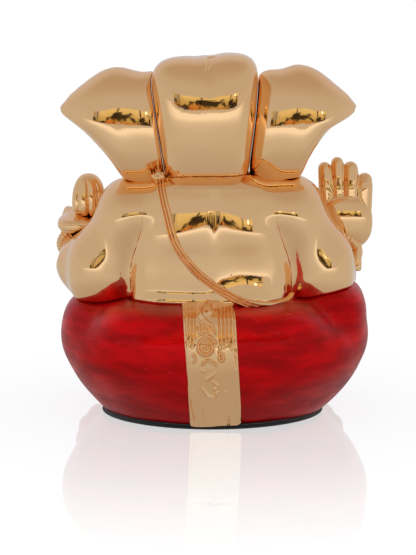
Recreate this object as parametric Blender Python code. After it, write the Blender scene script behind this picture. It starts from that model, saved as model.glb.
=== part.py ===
"""Seated Ganesha idol, a slip-cast ceramic figure with gilded skin and a red enamelled dhoti.

The hollow castings (seat, torso, head) and the pressed or solid ones (ears, arms, hands, trunk, tusks,
feet, sash sprigs) are moulded one by one and luted together, each seated on its neighbour with a thin
lute line between them. Nothing on the finished figure moves.

Frame: metres, +Z up, +Y towards the figure's back, +X towards the figure's own left hand. The origin is
the centre of the felt pad's underside.

Shapes: each casting is a ball whose points are pushed out from a centre until they meet the blended
surface of a few ovals. The same surface, grown by the lute gap, cuts the pieces that sit against it.
"""

import bmesh
import bpy
import numpy as np
from mathutils import Matrix, Vector

MM = 0.001

# Driving dimensions: the seat, the torso and the head are three regions stacked on each other.
SEAT_WIDTH = 84 * MM
SEAT_DEPTH = 75 * MM
SEAT_HEIGHT = 33 * MM
TORSO_WIDTH = 46 * MM
TORSO_DEPTH = 44 * MM
TORSO_HEIGHT = 30 * MM
HEAD_WIDTH = 30 * MM
HEAD_DEPTH = 36 * MM
HEAD_HEIGHT = 37 * MM

WALL = 3.0 * MM  # cast wall of the hollow pieces
LUTE_GAP = 0.4 * MM  # slip line between two seated pieces
PAD_THICKNESS = 1.5 * MM  # felt under the seat
PAD_INSET = 0.6 * MM  # felt edge behind the seat's own edge
VENT_RADIUS = 6.0 * MM  # firing vent in the seat's floor, covered by the felt
WAIST_STUB_RADIUS = 12.0 * MM
WAIST_STUB_LENGTH = 8.0 * MM
NECK_STUB_RADIUS = 6.5 * MM
NECK_STUB_LENGTH = 7.0 * MM
SASH_WIDTH = 15.6 * MM
SASH_THICKNESS = 1.0 * MM
FRONT_SASH_WIDTH = 11.0 * MM
TILAK_WIDTH = 5.0 * MM
TILAK_HEIGHT = 7.0 * MM
TILAK_THICKNESS = 0.7 * MM
THREAD_RADIUS = 1.0 * MM
BANGLE_RADIUS = 1.3 * MM
TAIL_RADIUS = 1.3 * MM  # loose end of the right bangle's cord
TAIL_LENGTH = 9.0 * MM
TUSK_RADIUS = 2.1 * MM
MODAK_RADIUS = 5.0 * MM
MODAK_HEIGHT = 12.0 * MM
WRIST_RADIUS = 4.8 * MM
FINGER_RADIUS = 2.1 * MM

# The pattern that the coordinates below are written on, in its own millimetres, region by region.
PATTERN = {
    "seat": (84, 75, 33),
    "torso": (46, 44, 30),
    "head": (30, 36, 37),
}

# Points along a ball's edge: fine where a piece is large or has fingers or toes.
COARSE, MEDIUM, FINE = 5, 7, 9

GILT = ("gilt", (0.86, 0.60, 0.30), 0.12, 1.0)
ENAMEL = ("red_enamel", (0.36, 0.004, 0.012), 0.18, 0.0)
FELT = ("felt", (0.012, 0.010, 0.012), 0.95, 0.0)


class Region:
    """One part of the figure: pattern millimetres in, metres in the figure's frame out."""

    def __init__(self, pattern, width, depth, height, floor):
        self.stretch = np.array([width, depth, height]) / np.array(pattern)
        self.floor = np.array([0.0, 0.0, floor])

    def spot(self, point):
        return self.floor + self.stretch * np.array(point, float)

    def oval(self, points, centre, radii, power=2.0):
        """Distance of each point from an oval, measured along the line from its centre."""
        away = points - self.spot(centre)
        share = (np.abs(away / (self.stretch * np.array(radii, float))) ** power).sum(axis=1) ** (1 / power)
        reach = np.linalg.norm(away, axis=1)
        return reach - reach / np.maximum(share, 1e-9)

    def limb(self, points, start, end, start_radius, end_radius):
        """Distance of each point from a round limb that tapers between two ends (radii in metres)."""
        start, end = self.spot(start), self.spot(end)
        along = np.clip((points - start) @ (end - start) / ((end - start) @ (end - start)), 0, 1)
        from_axis = np.linalg.norm(points - start - along[:, None] * (end - start), axis=1)
        return from_axis - (start_radius + (end_radius - start_radius) * along)


SEAT = Region(PATTERN["seat"], SEAT_WIDTH, SEAT_DEPTH, SEAT_HEIGHT, 0)
TORSO = Region(PATTERN["torso"], TORSO_WIDTH, TORSO_DEPTH, TORSO_HEIGHT, SEAT_HEIGHT)
HEAD = Region(PATTERN["head"], HEAD_WIDTH, HEAD_DEPTH, HEAD_HEIGHT, SEAT_HEIGHT + TORSO_HEIGHT)


def blend(softness, *distances):
    """The union of several distances, with its inner corners filled over a width of softness."""
    joined = distances[0]
    for other in distances[1:]:
        fill = np.maximum(softness - np.abs(joined - other), 0) / softness
        joined = np.minimum(joined, other) - fill * fill * softness / 4
    return joined


# The surfaces of the castings: negative inside, positive outside, in metres.


def seat_surface(points):
    """A wide cushion, rounder below than above, whose front half holds two folded legs."""
    away = points - SEAT.spot((-0.4, 0, 19))
    below = away[:, 2] < 0
    half_height = np.where(below, SEAT.spot((0, 0, 26))[2], SEAT.spot((0, 0, 15))[2])
    upright_power = np.where(below, 2.1, 2.6)
    level = np.abs(away[:, 0] / (SEAT_WIDTH / 2)) ** 2.4 + np.abs(away[:, 1] / (SEAT_DEPTH / 2)) ** 2.4
    level = level ** (upright_power / 2.4)
    share = (level + np.abs(away[:, 2] / half_height) ** upright_power) ** (1 / upright_power)
    reach = np.linalg.norm(away, axis=1)
    cushion = reach - reach / np.maximum(share, 1e-9)
    right_hip = SEAT.oval(points, (-33, 0, 23), (9.5, 18, 9.5), 2.3)
    shins = [SEAT.limb(points, (side * 27, -20, 13), (side * 7, -29, 10), 11 * MM, 7 * MM) for side in (1, -1)]
    return blend(5 * MM, cushion, right_hip, *shins)


def torso_surface(points):
    """Chest and back, a round belly in front, two shoulders, and a roll of flesh at the waist."""
    trunk = TORSO.oval(points, (0, 2, 15), (19, 17.5, 14.5), 2.3)
    belly = TORSO.oval(points, (0, -7, 9), (22, 20, 14.5))
    shoulders = [TORSO.oval(points, (x, 1.5, 22.5), (10, 12, 9)) for x in (12.5, -10.5)]
    waist_roll = TORSO.oval(points, (0.5, 2.5, 3), (22.5, 19.5, 6.5), 2.2)
    body = blend(5 * MM, blend(6 * MM, blend(8 * MM, trunk, belly), *shoulders), waist_roll)
    across, back, up = ((points - TORSO.spot((0.5, 0, 0))) / MM).T
    spine = np.exp(-((across / 2.2) ** 2)) * np.clip(back / 10, 0, 1) * np.clip((up - 6) / 10, 0, 1)
    return body + 0.9 * MM * spine


def head_surface(points):
    """Two domes side by side, a long skull behind, a forehead and two cheeks in front."""
    domes = blend(
        6.5 * MM,
        HEAD.oval(points, (7.6, 0, 22.3), (8.2, 17.5, 13.6), 2.8),
        HEAD.oval(points, (-5.0, 0, 22.9), (8.5, 17.5, 13.9), 2.8),
    )
    skull = HEAD.oval(points, (2.0, 0.5, 12.5), (11.2, 16.5, 15), 2.2)
    forehead = HEAD.oval(points, (1, -9, 15), (14, 12, 15), 2.2)
    cheeks = [HEAD.oval(points, (x, -11, 7), (7, 8, 7)) for x in (10, -8)]
    return blend(6 * MM, blend(8 * MM, blend(6 * MM, domes, skull), forehead), *cheeks)


EAR_OUTLINES = {
    # Ear tip first, then over the top, down behind the head and back along the lower edge.
    "left": [(16.2, 2.4), (11.5, 8.6), (5.5, 12.9), (0.5, 14.2), (-5.5, 13), (-12, 12),
             (-15, 0), (-14, -16), (-7, -20.5), (-1.5, -18.5), (3.6, -10.6), (10, -4)],
    "right": [(-14.4, 2.8), (-9.7, 9), (-4, 13.6), (1, 15.4), (5.5, 14), (12, 12),
              (15, 0), (14, -17), (7, -20.5), (0.5, -17.5), (-3, -10), (-8.6, -3)],
}
EAR_BACK_BULGE = 10.5
EAR_FRONT_BULGE = 5.0
EAR_CENTRES = {"left": (25, 1, 18), "right": (-25, 1, 18)}


def outline_reach(outline):
    """The distance from the origin to a smooth closed curve through the outline, as a function of angle."""
    knots = np.array(outline, float)
    count = len(knots)
    step = np.linspace(0, count, 40 * count, endpoint=False)
    whole = step.astype(int)
    part = (step - whole)[:, None]
    before, start, end, after = (knots[(whole + shift) % count] for shift in (-1, 0, 1, 2))
    curve = 0.5 * (
        2 * start
        + (end - before) * part
        + (2 * before - 5 * start + 4 * end - after) * part**2
        + (3 * start - before - 3 * end + after) * part**3
    )
    angles = np.arctan2(curve[:, 1], curve[:, 0])
    order = np.argsort(angles)
    return lambda angle: np.interp(angle, angles[order], np.hypot(*curve[order].T), period=2 * np.pi)


def ear_surface(side):
    """A padded leaf: the outline in the X-Z plane, full behind and flatter in front."""
    reach_at = outline_reach(EAR_OUTLINES[side])

    def surface(points):
        away = points - HEAD.spot(EAR_CENTRES[side])
        local = away / HEAD.stretch
        edge = np.hypot(local[:, 0], local[:, 2]) / reach_at(np.arctan2(local[:, 2], local[:, 0]))
        bulge = np.where(local[:, 1] > 0, EAR_BACK_BULGE, EAR_FRONT_BULGE)
        share = (edge**2.3 + np.abs(local[:, 1] / bulge) ** 2.1) ** (1 / 2.2)
        reach = np.linalg.norm(away, axis=1)
        return reach - reach / np.maximum(share, 1e-9)

    return surface


ELBOWS = {"left": (35, -5, 7), "right": (-32, -5, 5)}
WRISTS = {"left": (36.8, -12.8, 11.6), "right": (-37.8, -12.3, 9.8)}


def arm_surface(side):
    """A drooping upper arm, fattest at the elbow, and a forearm that rises forwards to the wrist."""
    shoulder, upper = {
        "left": (((23, 3.5, 21.6), (8.6, 12.5, 10.6)), ((29.4, 0, 8.8), (10.6, 12, 10.8))),
        "right": (((-22.4, 3.5, 21.8), (9.2, 12.5, 11.2)), ((-29.2, 0, 8), (10.5, 12, 12))),
    }[side]

    def surface(points):
        sleeve = blend(8 * MM, TORSO.oval(points, *shoulder), TORSO.oval(points, *upper))
        forearm = TORSO.limb(points, ELBOWS[side], WRISTS[side], 8 * MM, WRIST_RADIUS)
        return blend(4 * MM, sleeve, forearm)

    return surface


def arm_centre(side):
    return TORSO.spot((ELBOWS[side][0] * 0.92, -4, 9.5))


RAISED_PALM = (-37.2, -12, 21.5)
# Each finger of the raised hand: across at its root and at its tip, and the height of its tip.
FINGERS = ((-33.2, -31.6, 33.4), (-36.2, -35.3, 35.4), (-39.2, -39.1, 34.3), (-41.7, -42.6, 30.6))


def raised_hand_surface(points):
    """The right hand, held up flat: a palm, four fingers side by side and a thumb in front of the palm."""
    x, y, z = RAISED_PALM
    palm = TORSO.oval(points, RAISED_PALM, (7.3, 4.2, 9.8), 2.3)
    tip_radius = 0.85 * FINGER_RADIUS
    fingers = [
        TORSO.limb(points, (root, y, z + 4), (tip, y - 1, top - 1.8), FINGER_RADIUS, tip_radius)
        for root, tip, top in FINGERS
    ]
    thumb = TORSO.limb(points, (x + 4, y - 2, z - 3), (x + 8, y - 4, z + 4), FINGER_RADIUS, tip_radius)
    return blend(1.2 * MM, palm, *fingers, thumb)


OFFERING_PALM = (36, -12.5, 18.2)


def offering_hand_surface(points):
    """The left hand, palm up like a tray, with four fingers curling up at its front edge."""
    x, y, z = OFFERING_PALM
    palm = TORSO.oval(points, OFFERING_PALM, (7.2, 7.6, 2.6), 2.6)
    heel = TORSO.limb(points, (x + 0.8, y - 0.3, z - 3.4), (x + 0.2, y, z - 0.8), 0.82 * WRIST_RADIUS, WRIST_RADIUS)
    fingers = [
        TORSO.limb(points, (x + across, y - 4, z - 0.5), (x + across, y - 9, z + 3), FINGER_RADIUS, 0.8 * FINGER_RADIUS)
        for across in (-4.8, -1.6, 1.6, 4.8)
    ]
    return blend(2 * MM, palm, heel, *fingers)


MODAK_FLARE = 0.3  # share of the dumpling's height below its widest ring


def modak_middle():
    """The dumpling's widest ring: it stands on the palm, a little towards the figure's middle."""
    x, y, z = OFFERING_PALM
    return TORSO.spot((x - 1.8, y + 1.5, z + 1.6)) + np.array([0, 0, MODAK_FLARE * MODAK_HEIGHT])


def modak_surface(points):
    """A sweet dumpling: a tall dome on a shallow base."""
    away = points - modak_middle()
    above, under = (1 - MODAK_FLARE) * MODAK_HEIGHT, MODAK_FLARE * MODAK_HEIGHT
    half_height = np.where(away[:, 2] > 0, above, under)
    share = np.sqrt((np.hypot(away[:, 0], away[:, 1]) / MODAK_RADIUS) ** 2 + (away[:, 2] / half_height) ** 2)
    reach = np.linalg.norm(away, axis=1)
    return reach - reach / np.maximum(share, 1e-9)


FOOT = (10, -33, 7.4)


def foot_surface(side):
    """A short plump foot that points forwards, with five toes at its end."""
    x, y, z = FOOT

    def surface(points):
        sole = SEAT.oval(points, (side * x, y, z), (6.6, 6.4, 4.8), 2.2)
        toes = [
            SEAT.oval(points, (side * (x - 4.6 + 2.3 * k), y - 5.2 + 0.4 * k * k, z - 0.4), (1.8 - 0.12 * k, 2.4, 2.6))
            for k in range(5)
        ]
        return blend(1.5 * MM, sole, *toes)

    return surface


def cut_back(surface, *limits):
    """The part of a surface that lies inside every limit as well."""
    return lambda points: np.maximum.reduce([surface(points)] + [limit(points) for limit in limits])


def clear_of(surface, distance):
    """Everything further than distance from a surface."""
    return lambda points: distance - surface(points)


# Blender objects.


def clear_scene():
    for obj in list(bpy.data.objects):
        bpy.data.objects.remove(obj, do_unlink=True)


def finish(mesh, name, look):
    """A named object with its own material."""
    slot, colour, roughness, metallic = look
    material = bpy.data.materials.new(f"{slot}_{name}")
    material.use_nodes = True
    shader = material.node_tree.nodes["Principled BSDF"]
    shader.inputs["Base Color"].default_value = (*colour, 1)
    shader.inputs["Roughness"].default_value = roughness
    shader.inputs["Metallic"].default_value = metallic
    mesh.materials.append(material)
    mesh.shade_smooth()
    obj = bpy.data.objects.new(name, mesh)
    bpy.context.scene.collection.objects.link(obj)
    return obj


def as_tool(obj):
    """A cutter or a joining piece: it shapes others and isn't part of the figure."""
    obj.hide_render = True
    obj.display_type = "WIRE"
    return obj


def mesh_from(bm, name):
    mesh = bpy.data.meshes.new(name)
    bm.to_mesh(mesh)
    bm.free()
    return mesh


def pushed_out(surface, centre, directions, grow=0.0):
    """The furthest point of the surface, grown by a distance, along each direction from the centre."""
    reach = 70 * MM
    strides = np.linspace(0, reach, 141)
    near = np.zeros(len(directions))
    for stride in strides:
        near[surface(centre + directions * stride) < grow] = stride
    far = near + strides[1]
    for _ in range(24):
        middle = (near + far) / 2
        inside = surface(centre + directions * middle[:, None]) < grow
        near = np.where(inside, middle, near)
        far = np.where(inside, far, middle)
    return centre + directions * near[:, None]


def ball(name, surface, centre, cuts, look, grow=0.0):
    """A cube divided into a grid, blown up onto the surface from a centre inside it, then grown outwards."""
    bm = bmesh.new()
    bmesh.ops.create_cube(bm, size=2)
    bmesh.ops.subdivide_edges(bm, edges=bm.edges[:], cuts=cuts, use_grid_fill=True)
    directions = np.tan(np.array([vert.co for vert in bm.verts]) * np.pi / 4)
    directions /= np.linalg.norm(directions, axis=1)[:, None]
    for vert, point in zip(bm.verts, pushed_out(surface, np.array(centre), directions)):
        vert.co = point
    bm.normal_update()
    for vert in bm.verts:
        vert.co += vert.normal * grow
    return finish(mesh_from(bm, name), name, look)


def cutter(name, surface, centre, cuts, grow=LUTE_GAP):
    return as_tool(ball(f"cut_{name}", surface, centre, cuts, GILT, grow))


def rod(name, start, end, start_radius, end_radius, look, sides=20):
    """A straight tapered rod with flat ends."""
    start, end = Vector(start), Vector(end)
    bm = bmesh.new()
    turn = (end - start).to_track_quat("Z", "Y").to_matrix().to_4x4()
    bmesh.ops.create_cone(
        bm,
        cap_ends=True,
        segments=sides,
        radius1=start_radius,
        radius2=end_radius,
        depth=(end - start).length,
        matrix=Matrix.Translation((start + end) / 2) @ turn,
    )
    return finish(mesh_from(bm, name), name, look)


def strap_volume(name, top_centre, foot_centre, top_half, foot_half, front, back):
    """A flat board, wider or narrower at its foot, that stands between two planes across Y."""
    (top_x, top_z), (foot_x, foot_z) = top_centre, foot_centre
    corners = [
        (foot_x - foot_half, foot_z),
        (foot_x + foot_half, foot_z),
        (top_x + top_half, top_z),
        (top_x - top_half, top_z),
    ]
    bm = bmesh.new()
    face = bm.faces.new([bm.verts.new((x, front, z)) for x, z in corners])
    pushed = bmesh.ops.extrude_face_region(bm, geom=[face])["geom"]
    for vert in [item for item in pushed if isinstance(item, bmesh.types.BMVert)]:
        vert.co.y = back
    bmesh.ops.recalc_face_normals(bm, faces=bm.faces[:])
    return finish(mesh_from(bm, name), name, GILT)


def swept(name, path, radii, look, closed=False, sides=2):
    """A tube along a smooth path: a poly curve with a round bevel, and filled caps where it ends."""
    curve = bpy.data.curves.new(name, "CURVE")
    curve.dimensions = "3D"
    curve.bevel_depth = 1.0
    curve.bevel_resolution = sides
    curve.use_fill_caps = not closed
    spline = curve.splines.new("POLY")
    spline.points.add(len(path) - 1)
    spline.use_cyclic_u = closed
    for point, place, radius in zip(spline.points, path, radii):
        point.co = (*place, 1)
        point.radius = radius
    shape = bpy.data.objects.new(name, curve)
    mesh = bpy.data.meshes.new_from_object(shape)
    bpy.data.objects.remove(shape)
    bpy.data.curves.remove(curve)
    bm = bmesh.new()
    bm.from_mesh(mesh)
    bpy.data.meshes.remove(mesh)
    bmesh.ops.remove_doubles(bm, verts=bm.verts[:], dist=0.01 * MM)
    bmesh.ops.recalc_face_normals(bm, faces=bm.faces[:])
    return finish(mesh_from(bm, name), name, look)


def apply_boolean(target, other, operation):
    modifier = target.modifiers.new(f"{operation.lower()}_{other.name}", "BOOLEAN")
    modifier.operation = operation
    modifier.object = other


def carve(target, *others):
    for other in others:
        apply_boolean(target, other, "DIFFERENCE")
    return target


def join(target, other):
    apply_boolean(target, as_tool(other), "UNION")
    return target


def keep_within(target, other):
    apply_boolean(target, other, "INTERSECT")
    return target


def smooth_path(knots, count, closed=False):
    """Evenly stepped points on a smooth curve through the knots, with a radius as the fourth value."""
    knots = np.array(knots, float)
    last = len(knots) if closed else len(knots) - 1
    step = np.linspace(0, last, count, endpoint=not closed)
    whole = np.minimum(step.astype(int), last - 1)
    part = (step - whole)[:, None]

    def knot(index):
        return knots[index % len(knots)] if closed else knots[np.clip(index, 0, len(knots) - 1)]

    before, start, end, after = (knot(whole + shift) for shift in (-1, 0, 1, 2))
    return 0.5 * (
        2 * start
        + (end - before) * part
        + (2 * before - 5 * start + 4 * end - after) * part**2
        + (3 * start - before - 3 * end + after) * part**3
    )


# Centres that see the whole of their casting's skin.

SEAT_CENTRE = SEAT.spot((0, -2, 14))
TORSO_CENTRE = TORSO.spot((0, 0, 11))
HEAD_CENTRE = HEAD.spot((1, -2, 17))
SHELL_FLOOR = PAD_THICKNESS + LUTE_GAP
NECK = (1, 0)


def make_tools():
    """The cutters that seat one casting on another: each neighbour's surface, grown by the lute gap."""
    tools = {
        "seat": cutter("seat", seat_surface, SEAT_CENTRE, FINE),
        "torso": cutter("torso", torso_surface, TORSO_CENTRE, MEDIUM),
        "head": cutter("head", head_surface, HEAD_CENTRE, MEDIUM),
        "raised_hand": cutter("raised_hand", raised_hand_surface, TORSO.spot(RAISED_PALM), MEDIUM),
        "offering_hand": cutter("offering_hand", offering_hand_surface, TORSO.spot(OFFERING_PALM), MEDIUM),
        "thread": as_tool(thread_tube("cut_thread", LUTE_GAP)),
        "trunk": as_tool(trunk_tube("cut_trunk", LUTE_GAP)),
    }
    for side in ("left", "right"):
        tools[f"{side}_arm"] = cutter(f"{side}_arm", arm_surface(side), arm_centre(side), MEDIUM)
    return tools


def seat_shell(tools):
    """The red casting: legs and seat, hollow, dished on top for the torso, with a vent in its floor."""
    shell = ball("seat_shell", seat_surface, SEAT_CENTRE, FINE, ENAMEL)
    under = strap_volume("under_seat", (0, SHELL_FLOOR), (0, -SEAT_HEIGHT), SEAT_WIDTH, SEAT_WIDTH,
                         -SEAT_DEPTH, SEAT_DEPTH)
    hollow = cut_back(
        lambda p: seat_surface(p) + WALL,
        lambda p: SHELL_FLOOR + WALL - p[:, 2],
        clear_of(torso_surface, LUTE_GAP + WALL),
    )
    cavity = ball("seat_cavity", hollow, SEAT.spot((0, -2, 12)), COARSE, ENAMEL)
    vent = rod("vent", (0, 0, -WALL), (0, 0, SHELL_FLOOR + 2 * WALL), VENT_RADIUS, VENT_RADIUS, FELT)
    socket_radius = WAIST_STUB_RADIUS + LUTE_GAP
    socket = rod("waist_socket", (0, 0, waist_stub_foot() - WALL), (0, 0, SEAT_HEIGHT),
                 socket_radius, socket_radius, ENAMEL)
    return carve(shell, as_tool(under), tools["torso"], as_tool(cavity), as_tool(socket), as_tool(vent))


def waist_stub_foot():
    return SEAT_HEIGHT - TORSO.stretch[2] * 4 * MM - WAIST_STUB_LENGTH


def torso_shell():
    """Chest and belly, hollow, with a stub that drops into the seat and a round socket for the neck."""
    shell = ball("torso_shell", torso_surface, TORSO_CENTRE, MEDIUM, GILT)
    foot, waist = waist_stub_foot(), TORSO.spot((0, 0, 4))[2]
    stub = rod("waist_stub", (0, 0, foot), (0, 0, waist), WAIST_STUB_RADIUS, WAIST_STUB_RADIUS, GILT)
    cavity = ball("torso_cavity", lambda p: torso_surface(p) + WALL, TORSO_CENTRE, COARSE, GILT)
    bore_radius = WAIST_STUB_RADIUS - WALL
    bore = rod("waist_bore", (0, 0, foot - WALL), (0, 0, waist + WALL), bore_radius, bore_radius, GILT)
    neck_radius = NECK_STUB_RADIUS + LUTE_GAP
    neck = rod("neck_socket", TORSO.spot((*NECK, 15)), TORSO.spot((*NECK, 36)), neck_radius, neck_radius, GILT)
    join(shell, stub)
    return carve(shell, as_tool(cavity), as_tool(bore), as_tool(neck))


def head_shell(tools):
    """The double-domed head, hollow, sitting on the shoulders with its neck stub in the torso's socket."""
    shell = ball("head_shell", head_surface, HEAD_CENTRE, MEDIUM, GILT)
    carve(shell, tools["torso"], tools["thread"])
    top = TORSO.spot((*NECK, 34))
    foot = TORSO.spot((*NECK, 30)) - np.array([0, 0, NECK_STUB_LENGTH])
    join(shell, rod("neck_stub", foot, top, NECK_STUB_RADIUS, NECK_STUB_RADIUS, GILT))
    hollow = cut_back(lambda p: head_surface(p) + WALL, clear_of(torso_surface, LUTE_GAP + WALL))
    cavity = ball("head_cavity", hollow, HEAD_CENTRE, COARSE, GILT)
    bore_radius = NECK_STUB_RADIUS - WALL
    run_out = np.array([0, 0, 2 * WALL])
    bore = rod("neck_bore", foot - run_out, top + run_out, bore_radius, bore_radius, GILT)
    return carve(shell, as_tool(cavity), as_tool(bore))


def ear(side, tools):
    centre = HEAD.spot(EAR_CENTRES[side])
    leaf = ball(f"{side}_ear", ear_surface(side), centre, MEDIUM, GILT)
    return carve(leaf, tools["head"], tools["torso"], tools[f"{side}_arm"], tools["thread"])


def arm(side, tools):
    limb = ball(f"{side}_arm", arm_surface(side), arm_centre(side), MEDIUM, GILT)
    return carve(limb, tools["thread"], tools["seat"], tools["torso"])


def hands(tools):
    raised = ball("raised_hand", raised_hand_surface, TORSO.spot(RAISED_PALM), MEDIUM, GILT)
    offering = ball("offering_hand", offering_hand_surface, TORSO.spot(OFFERING_PALM), MEDIUM, GILT)
    carve(raised, tools["right_arm"])
    carve(offering, tools["left_arm"])
    sweet = ball("modak", modak_surface, modak_middle(), COARSE, GILT)
    carve(sweet, tools["offering_hand"])


def foot(side, name, tools):
    x, y, z = FOOT
    return carve(ball(name, foot_surface(side), SEAT.spot((side * x, y, z)), COARSE, GILT), tools["seat"])


# Round the left shoulder, across the back to the right hip, under the arm and back over the belly.
THREAD_KNOTS = [
    (15.6, 8, 29), (14, 15, 24), (10.5, 18, 17.5), (6, 20, 11), (0, 20, 5), (-8, 19, 1.6), (-16, 17, 0.6),
    (-22, 9, 1.6), (-23, -2, 2), (-19, -18, 2), (-10, -25, 4.5), (0, -27, 10), (9, -22, 18), (14, -14, 24),
    (16.5, -4, 29.5),
]


def thread_tube(name, grow=0.0):
    """The sacred thread's loop, lying on the torso's skin."""
    directions = TORSO.spot(smooth_path(THREAD_KNOTS, 45, closed=True)) - TORSO_CENTRE
    directions /= np.linalg.norm(directions, axis=1)[:, None]
    path = pushed_out(torso_surface, TORSO_CENTRE, directions, LUTE_GAP + THREAD_RADIUS)
    return swept(name, path, [THREAD_RADIUS + grow] * len(path), GILT, closed=True)


# From between the eyes down over the belly, then round and up towards the sweet: place and radius.
TRUNK_ROOT_KNOTS = [(1, -14, 12, 7.4), (1, -22, 7, 6.8), (1.4, -28, 0, 5.8)]
TRUNK_TIP_KNOTS = [(3, -31, 21, 4.9), (7, -32, 14, 4.3), (12.5, -31.4, 10.8, 3.8), (17.5, -29.5, 12, 3.4),
                   (19.5, -28.5, 16.5, 3.1)]


def trunk_tube(name, grow=0.0):
    """The trunk, a tapered tube whose thick end is inside the head."""
    knots = [(*HEAD.spot(knot[:3]), knot[3] * MM) for knot in TRUNK_ROOT_KNOTS]
    knots += [(*TORSO.spot(knot[:3]), knot[3] * MM) for knot in TRUNK_TIP_KNOTS]
    path = smooth_path(knots, 18)
    return swept(name, path[:, :3], path[:, 3] + grow, GILT, sides=4)


def tusk(name, side, length, tools):
    """A tapered tusk from the cheek, pointing forwards, down and a little outwards."""
    root = HEAD.spot((1 + side * 8, -15, 4))
    way = np.array([side * 0.22, -0.82, -0.45])
    cone = rod(name, root, root + way * length, TUSK_RADIUS, 0.45 * TUSK_RADIUS, GILT, sides=12)
    return carve(cone, tools["head"], tools["trunk"])


def tilak(tools):
    """A raised mark on the forehead."""
    mark = ball("forehead_tilak", head_surface, HEAD_CENTRE, MEDIUM, GILT, LUTE_GAP + TILAK_THICKNESS)
    top = HEAD.spot((1, 0, 25))
    low = (top[0], top[2] - TILAK_HEIGHT)
    board = strap_volume("tilak_board", (top[0], top[2]), low, TILAK_WIDTH / 2, TILAK_WIDTH / 3,
                         -2 * HEAD_DEPTH, 0)
    keep_within(mark, as_tool(board))
    return carve(mark, tools["head"])


def sash(name, board, tools):
    """A relief strip that follows the seat's skin inside a board-shaped outline."""
    strip = ball(name, seat_surface, SEAT_CENTRE, FINE, GILT, LUTE_GAP + SASH_THICKNESS)
    keep_within(strip, as_tool(board))
    return carve(strip, tools["seat"], tools["torso"], tools["thread"])


def sashes(tools):
    top = SEAT_HEIGHT + 2 * WALL
    half = SASH_WIDTH / 2
    behind = strap_volume("back_sash_board", (0.18 * half, top), (-0.18 * half, SHELL_FLOOR), half, 0.93 * half,
                          0.2 * SEAT_DEPTH, SEAT_DEPTH)
    sash("back_sash", behind, tools)
    half = FRONT_SASH_WIDTH / 2
    hem = SEAT.spot((0, 0, 13))[2]
    ahead = strap_volume("front_sash_board", (0, top), (0, hem), half, half, -SEAT_DEPTH, -0.2 * SEAT_DEPTH)
    sash("front_sash", ahead, tools)


def base_pad():
    """The felt, cut to the seat's footprint."""
    middle = np.array([0, 0, SHELL_FLOOR])
    turn = np.linspace(0, 2 * np.pi, 48, endpoint=False)
    rays = np.column_stack([np.cos(turn), np.sin(turn), np.zeros(len(turn))])
    rim = pushed_out(seat_surface, middle, rays, -PAD_INSET)
    bm = bmesh.new()
    face = bm.faces.new([bm.verts.new((x, y, 0)) for x, y, _ in rim])
    pushed = bmesh.ops.extrude_face_region(bm, geom=[face])["geom"]
    for vert in [item for item in pushed if isinstance(item, bmesh.types.BMVert)]:
        vert.co.z = PAD_THICKNESS
    bmesh.ops.recalc_face_normals(bm, faces=bm.faces[:])
    return finish(mesh_from(bm, "base_pad"), "base_pad", FELT)


def bangle_path(side):
    """Points round the wrist, square to the forearm."""
    wrist = TORSO.spot(WRISTS[side])
    along = Vector(wrist - TORSO.spot(ELBOWS[side])).normalized()
    radius = WRIST_RADIUS + LUTE_GAP + 0.6 * BANGLE_RADIUS
    facing = along.to_track_quat("Z", "Y").to_matrix()
    turns = np.linspace(0, 2 * np.pi, 18, endpoint=False)
    return [Vector(wrist) + facing @ Vector((radius * np.cos(turn), radius * np.sin(turn), 0)) for turn in turns]


def bangle_ring(name, side, grow=0.0):
    path = bangle_path(side)
    return swept(name, path, [BANGLE_RADIUS + grow] * len(path), GILT, closed=True)


def bangle(side, tools):
    hand = "offering_hand" if side == "left" else "raised_hand"
    return carve(bangle_ring(f"{side}_bangle", side), tools[f"{side}_arm"], tools[hand])


def bangle_tail(tools):
    """The loose end of the right bangle's cord, hanging from the ring's outermost point."""
    ring = as_tool(bangle_ring("cut_right_bangle", "right", LUTE_GAP))
    top = min(bangle_path("right"), key=lambda point: point.x)
    low = top + Vector((0.02, 0.1, -1)) * TAIL_LENGTH
    tail = rod("bangle_tail", top, low, 0.7 * TAIL_RADIUS, TAIL_RADIUS, GILT, sides=12)
    return carve(tail, ring, tools["right_arm"], tools["seat"])


def main():
    clear_scene()
    tools = make_tools()
    base_pad()
    seat_shell(tools)
    torso_shell()
    head_shell(tools)
    carve(thread_tube("sacred_thread"), tools["torso"], tools["seat"])
    for side in ("left", "right"):
        ear(side, tools)
        arm(side, tools)
        bangle(side, tools)
    hands(tools)
    bangle_tail(tools)
    carve(trunk_tube("trunk"), tools["head"], tools["torso"], tools["thread"])
    tusk("left_tusk", 1, 13 * MM, tools)
    tusk("right_tusk", -1, 8 * MM, tools)
    tilak(tools)
    sashes(tools)
    foot(1, "left_foot", tools)
    foot(-1, "right_foot", tools)


main()
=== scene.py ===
"""Seated Ganesha idol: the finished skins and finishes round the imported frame, on a pale studio table.

Castings are balls of directions pushed out from a centre until they meet a surface blended from ovals and
limbs. Their coordinates are written in millimetres of the figure's pattern (+X its left hand, +Y its back,
+Z up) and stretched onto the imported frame's own box at the end.
"""

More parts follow.
